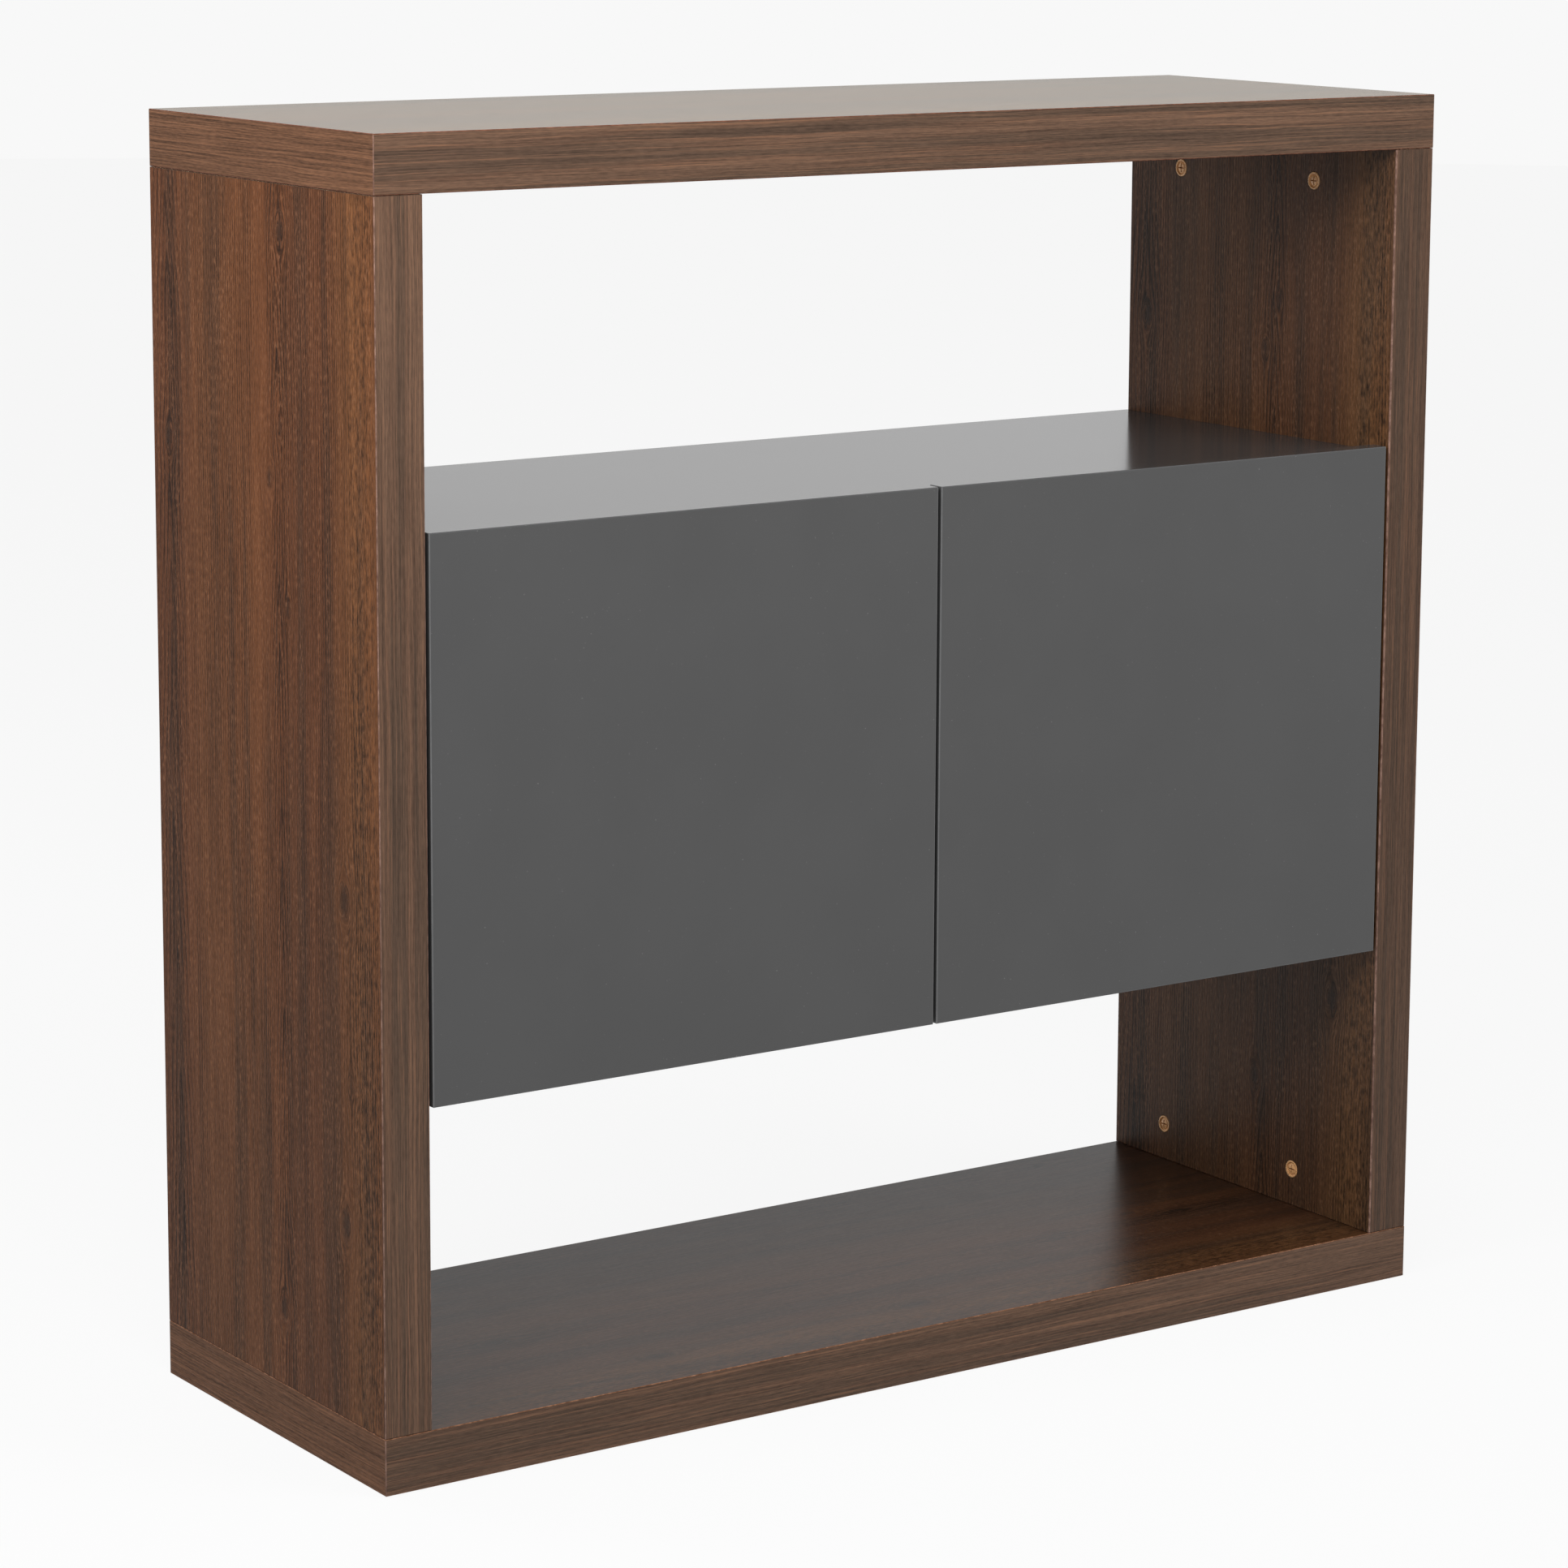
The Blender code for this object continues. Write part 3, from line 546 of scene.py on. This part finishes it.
def cross_cut(piece, centre, direction, half_length, half_width, depth):
    """Sink a cross recess into a turned piece."""
    turn = Vector(direction).to_track_quat("Z", "Y").to_matrix().to_4x4()
    shapes = []
    for half_x, half_y in ((half_length, half_width), (half_width, half_length)):
        shape = bmesh.new()
        bmesh.ops.create_cube(shape, size=2.0)
        bmesh.ops.scale(shape, verts=shape.verts, vec=(half_x, half_y, depth))
        bmesh.ops.transform(shape, verts=shape.verts, matrix=Matrix.Translation(centre) @ turn)
        shapes.append(shape)
    cut_away(piece, shapes)


# ---- Frame ----
SATIN_TINT = (1.0, 1.0, 0.45, 1.0)      # the top's warm sheen, seen only along its surface
SHEEN_ROUGHNESS = 0.3
SLAB_SHIFT = 420.0                      # where along the foil the slabs are cut from it, in mm
SLAB_RADII = (0.0007, 0.0006)
LEVEL_RADIUS = 0.0003                   # of the side panels, whose ends meet the slabs
CAM_BORE = 0.0079
CAM_BORE_DEPTH = 0.0142
CAM_CROSS = (0.0038, 0.00065, 0.0026)   # half length, half width, depth
OVERRUN = 0.004                         # how far a cutter stands out of the wood


def cam_nodes(side):
    return [f"cam_{side}_{end}_{place}" for end in ENDS for place in PLACES]


def cam_face(side, node):
    """The middle of a cam on the side panel's inner face."""
    low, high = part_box(node)
    panel_low, panel_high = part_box(f"{side}_side_panel")
    x = panel_high.x if side == "left" else panel_low.x
    return Vector((x, (low.y + high.y) / 2, (low.z + high.z) / 2))


def make_side_panel(side, shift, shade, post_shade, ior, arris_radius):
    inward = Vector((-SIDES[side], 0, 0))
    faces = {"X": walnut_face(f"walnut_{side}_face", "Z", 4.0 * SIDES[side], shift, shade,
                             ior=ior),
             "Y": walnut_band(f"walnut_{side}_band", "Z", "X", 21.0 + SIDES[side], post_shade),
             "Z": CORE}
    holes = []
    for node in cam_nodes(side):
        face = cam_face(side, node)
        holes.append((face + inward * OVERRUN, face - inward * CAM_BORE_DEPTH, CAM_BORE))
    board(f"walnut_{side}_side", f"{side}_side_panel", faces,
          (BAND_CORE, JOINT_SHADOW_ARRIS), (arris_radius, LEVEL_RADIUS), holes)


def make_slab(end, seed, shade, rough, ior, figure, relief, sheen=0.0):
    flat = walnut_face(f"walnut_{end}_face", "X", seed, SLAB_SHIFT, shade, rough, ior, figure,
                       relief)
    if sheen:
        shader = flat.node_tree.nodes["Principled BSDF"]
        shader.inputs["Sheen Weight"].default_value = sheen
        shader.inputs["Sheen Roughness"].default_value = SHEEN_ROUGHNESS
        shader.inputs["Sheen Tint"].default_value = SATIN_TINT
    faces = {"X": walnut_band(f"walnut_{end}_end_band", "Y", "Z", seed + 1.0, shade=0.94, gold=0.8,
                             contrast=1.25, ior=1.12),
             "Y": walnut_band(f"walnut_{end}_front_band", "X", "Z", seed + 2.0),
             "Z": flat}
    board(f"walnut_{end}_slab", f"{end}_slab", faces, (BAND_CORE, SLAB_ARRISES[end]),
          SLAB_RADII)


def make_cam(side, node):
    """A cam lock: a rounded rim, a groove inside it and a low dome with a cross recess."""
    face = cam_face(side, node)
    inward = Vector((-SIDES[side], 0, 0))
    profile = [(0.0066, -0.0136), (0.0074, -0.0130), (0.0074, -0.0002), (0.0073, 0.0001),
               (0.0070, 0.0003), (0.0063, 0.0003), (0.0060, 0.0001), (0.0057, -0.0012),
               (0.0053, -0.0013), (0.0050, -0.0009), (0.0042, -0.0003), (0.0030, 0.0000),
               (0.0015, 0.0002), (0.0001, 0.0002)]
    piece = turned(f"tan_{node}", profile, face, inward, CAM_PLASTIC)
    cross_cut(piece, face, inward, *CAM_CROSS)
    smooth(piece)
    stand_for(piece, node)


# ---- Cabinet ----
BOARD_RADII = (0.0005, 0.0005)
DOOR_RADII = (0.0009, 0.0007)
CUP_BORE = 0.0178
CUP_CLEARANCE, CUP_OVERRUN = 0.0003, 0.003      # past the cup's closed end, and out of the door


def make_cabinet():
    inside = {letter: INNER_PAINT for letter in AXES}
    shiny = {"X": INNER_PAINT, "Y": CABINET_PAINT, "Z": CABINET_PAINT}
    for part in ("top", "bottom"):
        board(f"grey_cabinet_{part}", f"cabinet_{part}", shiny, CABINET_HIGHLIGHT_ARRISES,
              BOARD_RADII)
    for part in ("left_side", "right_side", "divider", "back"):
        board(f"grey_cabinet_{part}", f"cabinet_{part}", inside, CABINET_HIGHLIGHT_ARRISES,
              BOARD_RADII)
    for side in SIDES:
        board(f"grey_{side}_shelf", f"{side}_shelf", inside, CABINET_HIGHLIGHT_ARRISES,
              BOARD_RADII)


def make_doors():
    faces = {"X": DOOR_PAINT, "Y": DOOR_PAINT, "Z": CABINET_PAINT}
    for side in SIDES:
        holes = []
        for level in LEVELS:
            low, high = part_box(f"hinge_cup_{side}_{level}")
            middle = (low + high) / 2
            holes.append(((middle.x, low.y - CUP_CLEARANCE, middle.z),
                          (middle.x, high.y + CUP_OVERRUN, middle.z), CUP_BORE))
        board(f"grey_{side}_door", f"{side}_door", faces,
              (DOOR_ARRIS_HIGHLIGHT, CABINET_ARRIS_HIGHLIGHT), DOOR_RADII, holes)


# ---- Hardware ----
# In from the door's outer edge and back from its front face, as the hinge is laid out
CUP_PIVOT = (0.0110, 0.0111)
ARM_INNER = 0.0200
PLATE_THICKNESS, PLATE_MIDDLE = 0.0018, 0.0480
PLATE_SCREW_HEIGHT, CUP_SCREW_HEIGHT = 0.0172, 0.0244     # above and below the hinge's middle
FIXING_BACK, DEPTH_BACK = 0.0520, 0.0690
PIN_RADIUS, PIN_START, PIN_LENGTH = 0.0012, 0.0048, 0.0070
PIN_CHAMFER = 0.0003
LATCH_SCREW_INSET = 0.0110
PLATE_HEAD, CUP_HEAD, ARM_HEAD, LATCH_HEAD = 0.0036, 0.0034, 0.0038, 0.0030     # screw head radii
HEAD_HEIGHT = 0.0011
RECESS_DEPTH = 0.0007


def refine(node, material, width=0.0003):
    """A carried-over CAD node gets rounded arrises and a better finish."""
    piece = frame["nodes"][node]
    piece.data.materials.clear()
    piece.data.materials.append(material)
    rounding = piece.modifiers.new("arris", "BEVEL")
    rounding.width = width
    rounding.segments = 2
    rounding.limit_method = "ANGLE"
    rounding.angle_limit = math.radians(40)
    smooth(piece)


def make_screw(name, spot, direction, body, radius):
    """A low pan-head screw with a cross recess. The spot is where its head meets the metal."""
    profile = [(radius * 0.80, -0.0002), (radius, 0.0), (radius, 0.0003), (radius * 0.88, 0.0007),
               (radius * 0.60, 0.0010), (0.0001, HEAD_HEIGHT)]
    piece = turned(name, profile, spot, direction, SCREW_STEEL, 32)
    top = Vector(spot) + Vector(direction) * HEAD_HEIGHT
    cross_cut(piece, top, direction, radius * 0.62, radius * 0.13, RECESS_DEPTH)
    smooth(piece)
    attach(piece, body)


def make_hinge_details(side, level):
    """Plate, arm and cup screws, and the two ends of the pin that the link turns on in the cup."""
    sign = SIDES[side]
    inward = Vector((-sign, 0, 0))
    arm_low, arm_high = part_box(f"hinge_arm_{side}_{level}")
    cup_low, cup_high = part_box(f"hinge_cup_{side}_{level}")
    z = (cup_low.z + cup_high.z) / 2
    outer = arm_low.x if sign < 0 else arm_high.x
    leaf = body_with(f"hinge_cup_{side}_{level}")
    frame_body = body_with(f"hinge_arm_{side}_{level}")
    door_low, door_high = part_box(f"{side}_door")
    edge = door_low.x if sign < 0 else door_high.x

    plate_x = outer - sign * PLATE_THICKNESS
    arm_x = edge - sign * ARM_INNER
    for label, up in (("low", -1), ("high", 1)):
        make_screw(f"plate_screw_{side}_{level}_{label}",
                   (plate_x, door_low.y + PLATE_MIDDLE, z + up * PLATE_SCREW_HEIGHT), inward,
                   frame_body, PLATE_HEAD)
        make_screw(f"cup_screw_{side}_{level}_{label}",
                   ((cup_low.x + cup_high.x) / 2, cup_high.y, z + up * CUP_SCREW_HEIGHT),
                   Vector((0, 1, 0)), leaf, CUP_HEAD)
        tip_radius = PIN_RADIUS - PIN_CHAMFER
        profile = [(tip_radius, 0.0), (PIN_RADIUS, PIN_CHAMFER),
                   (PIN_RADIUS, PIN_LENGTH - PIN_CHAMFER), (tip_radius, PIN_LENGTH)]
        pin = turned(f"hinge_pin_{side}_{level}_{label}", profile,
                     (edge - sign * CUP_PIVOT[0], door_low.y + CUP_PIVOT[1], z + up * PIN_START),
                     Vector((0, 0, up)), SCREW_STEEL, 20)
        smooth(pin)
        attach(pin, leaf)
    for label, back in (("fixing", FIXING_BACK), ("depth", DEPTH_BACK)):
        make_screw(f"{label}_screw_{side}_{level}", (arm_x, door_low.y + back, z), inward,
                   frame_body, ARM_HEAD)


def make_latch_screws(side):
    sign = SIDES[side]
    low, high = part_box(f"latch_body_{side}")
    face = high.x if sign > 0 else low.x
    for label, y in (("front", low.y + LATCH_SCREW_INSET), ("back", high.y - LATCH_SCREW_INSET)):
        make_screw(f"latch_screw_{side}_{label}", (face, y, (low.z + high.z) / 2),
                   Vector((sign, 0, 0)), body_with(f"latch_body_{side}"),
                   LATCH_HEAD)


def make_hardware():
    for side in SIDES:
        for level in LEVELS:
            make_hinge_details(side, level)
            refine(f"hinge_arm_{side}_{level}", NICKEL)
            refine(f"hinge_link_{side}_{level}", NICKEL, 0.0002)
            refine(f"hinge_cup_{side}_{level}", NICKEL, 0.0002)
        make_latch_screws(side)
        refine(f"latch_body_{side}", LATCH_PLASTIC, 0.0008)
        refine(f"latch_plunger_{side}", LATCH_TIP)
        refine(f"strike_plate_{side}", ZINC, 0.0002)
        for place in PLACES:
            refine(f"cabinet_screw_{side}_{place}", ZINC)
            for wall in ("side", "divider"):
                refine(f"shelf_pin_{side}_{wall}_{place}", ZINC)
            for end in ENDS:
                refine(f"cam_bolt_{side}_{end}_{place}", ZINC, 0.0002)


# ---- Stage ----
WHITE = (1.0, 1.0, 1.0, 1.0)
BACKDROP, OVERHEAD = 0.939, 0.35        # the world's strength at the horizon and overhead
FLOOR_RADIUS, FLOOR_DROP = 14.0, 0.0005
FLOOR_GLOW = 0.905
FLOOR_GREYS = ((0.038, 0.038, 0.038), (0.040, 0.040, 0.040))


def make_floor():
    """A wide pale disc just below the object, as bright as the backdrop."""
    g = Graph("pale_floor")
    shade = g.noise(g.place((g.axis("X"), 600.0), (g.axis("Y"), 600.0)), 3.0)
    color = g.mix(g.spread(shade, 0.3, 0.7), *FLOOR_GREYS)
    g.set(Base_Color=color, Roughness=1.0, IOR=1.0)
    g.shader.inputs["Emission Color"].default_value = WHITE
    g.shader.inputs["Emission Strength"].default_value = FLOOR_GLOW
    shape = bmesh.new()
    bmesh.ops.create_circle(shape, cap_ends=True, segments=96, radius=FLOOR_RADIUS)
    floor = new_object("floor", shape, [g.material])
    floor.location.z = -FLOOR_DROP


def make_light(name, location, target, size, power):
    """A soft lamp that lights the surfaces but isn't mirrored in them."""
    data = bpy.data.lights.new(name, "AREA")
    data.shape = "RECTANGLE"
    data.size, data.size_y = size
    data.energy = power
    lamp = bpy.data.objects.new(name, data)
    bpy.context.scene.collection.objects.link(lamp)
    lamp.location = location
    lamp.rotation_euler = (Vector(target) - Vector(location)).to_track_quat("-Z", "Y").to_euler()
    lamp.visible_glossy = False


def make_world():
    """A pale studio: white to a little above the horizon, dimmer overhead."""
    world = bpy.data.worlds.new("studio")
    world.use_nodes = True
    nodes, links = world.node_tree.nodes, world.node_tree.links
    direction = nodes.new("ShaderNodeTexCoord")
    parts = nodes.new("ShaderNodeSeparateXYZ")
    fade = nodes.new("ShaderNodeMapRange")
    fade.interpolation_type = "SMOOTHSTEP"
    for socket, value in (("From Min", 0.10), ("From Max", 0.5), ("To Min", BACKDROP),
                          ("To Max", OVERHEAD)):
        fade.inputs[socket].default_value = value
    links.new(direction.outputs["Generated"], parts.inputs[0])
    links.new(parts.outputs["Z"], fade.inputs["Value"])
    links.new(fade.outputs["Result"], nodes["Background"].inputs["Strength"])
    nodes["Background"].inputs["Color"].default_value = WHITE
    bpy.context.scene.world = world
    bpy.context.scene.view_settings.view_transform = "Standard"


def make_camera():
    data = bpy.data.cameras.new("camera")
    data.lens = 110.54
    data.sensor_width = 36.0
    data.shift_y = -0.0999
    camera = bpy.data.objects.new("camera", data)
    camera.location = (-2.1857, -3.1580, 1.2282)
    camera.rotation_euler = [math.radians(angle) for angle in (80.479, -0.256, -34.311)]
    bpy.context.scene.collection.objects.link(camera)
    bpy.context.scene.camera = camera


make_side_panel("left", shift=0.0, shade=1.0, post_shade=1.03, ior=1.12, arris_radius=0.0007)
# The right panel's foil is a touch darker and less red than the left's: painted shade, against the
# lamp light on the front of its inner face
make_side_panel("right", shift=-42.0, shade=(0.86, 0.98, 1.06), post_shade=0.77, ior=1.21,
                arris_radius=0.0012)
for side in SIDES:
    for node in cam_nodes(side):
        make_cam(side, node)
# The bottom slab's foil is about half as bright and less red than the top's: painted shade for its
# place in the lower bay, under the cabinet
make_slab("bottom", seed=61.0, shade=(0.53, 0.58, 0.63), rough=0.30, ior=1.33, figure=0.90,
          relief=0.15)
make_slab("top", seed=71.0, shade=(0.98, 1.08, 1.02), rough=0.26, ior=1.40, figure=0.7,
          relief=0.06, sheen=0.036)
make_cabinet()
make_doors()
make_hardware()
make_floor()
make_light("key", (-1.1, -1.5, 2.1), (-0.1, 0.0, 1.3), size=(1.3, 0.9), power=52.0)
make_light("fill", (1.0, -1.8, 2.1), (0.2, 0.0, 1.3), size=(1.3, 0.9), power=48.0)
make_light("side", (-1.55, -0.4, 1.95), (-0.5, 0.0, 1.30), size=(0.8, 0.8), power=34.0)
make_light("back", (-1.5, 2.4, 1.7), (0.3, 0.0, 0.6), size=(1.6, 1.2), power=30.0)
make_world()
make_camera()
